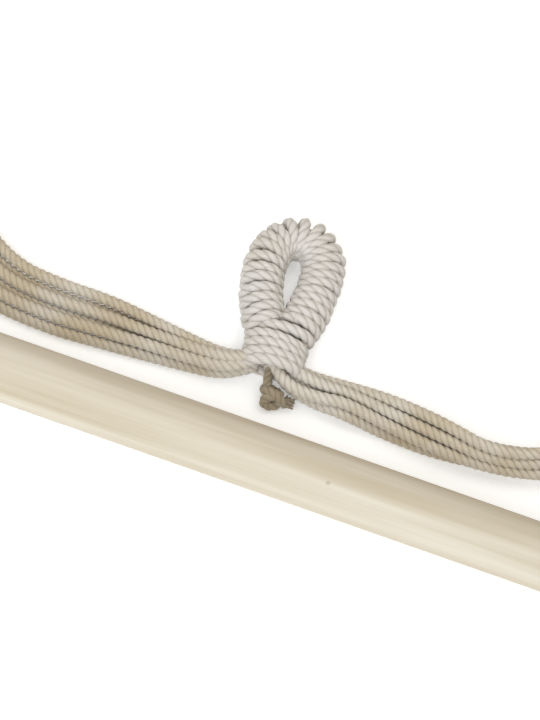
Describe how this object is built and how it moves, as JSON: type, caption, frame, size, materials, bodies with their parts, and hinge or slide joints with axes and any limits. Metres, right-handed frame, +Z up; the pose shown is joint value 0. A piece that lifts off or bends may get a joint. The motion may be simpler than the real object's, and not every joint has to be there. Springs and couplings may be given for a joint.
{
  "type": "rope hammock chair",
  "caption": "Rope hammock chair laid flat: round wooden spreader bar, knotted rope net seat, and rope suspension ending in a rope-served hanging eye.",
  "frame": {"origin": "middle of the bottom of the whole laid-out object's box, on the surface it lies on", "axes": "+X along the spreader bar, +Y from the seat towards the hanging eye, +Z up from the surface"},
  "size_m": [1.06, 0.9874, 0.035],
  "materials": {
    "hardwood": "sanded, unfinished",
    "cotton_rope": "three-strand natural cotton rope",
    "frayed_cotton": "worn, frayed cotton rope",
    "cotton_twine": "waxed cotton twine"
  },
  "bodies": {
    "bar": {"spreader_bar": "hardwood"},
    "suspension": {"suspension_rope_left_1": "cotton_rope", "suspension_rope_left_2": "cotton_rope", "suspension_rope_left_3": "cotton_rope", "suspension_rope_right_1": "cotton_rope", "suspension_rope_right_2": "cotton_rope", "suspension_rope_right_3": "cotton_rope"},
    "eye": {"eye_core_ropes": "cotton_rope", "eye_serving": "cotton_rope", "neck_rope_bundle": "cotton_rope", "neck_seizing": "cotton_rope", "tail_rope": "cotton_rope", "tail_knot": "frayed_cotton", "tail_fray": "frayed_cotton"},
    "seat": {"seat_rope_1": "cotton_rope", "seat_rope_2": "cotton_rope", "seat_rope_3": "cotton_rope", "seat_rope_4": "cotton_rope", "seat_rope_5": "cotton_rope", "seat_seizings": "cotton_twine"}
  },
  "joints": [
    {"name": "suspension_swing", "type": "hinge", "parent": "bar", "child": "suspension", "pos_m": [0, 0.28309, 0.0175], "axis": [1, 0, 0], "range_deg": [0, 180]},
    {"name": "seat_swing", "type": "hinge", "parent": "bar", "child": "seat", "pos_m": [0, 0.28309, 0.0175], "axis": [1, 0, 0], "range_deg": [0, 180]},
    {"name": "eye_tilt", "type": "hinge", "parent": "suspension", "child": "eye", "pos_m": [-0.002, 0.34009, 0.0129], "axis": [1, 0, 0], "range_deg": [0, 90]}
  ]
}
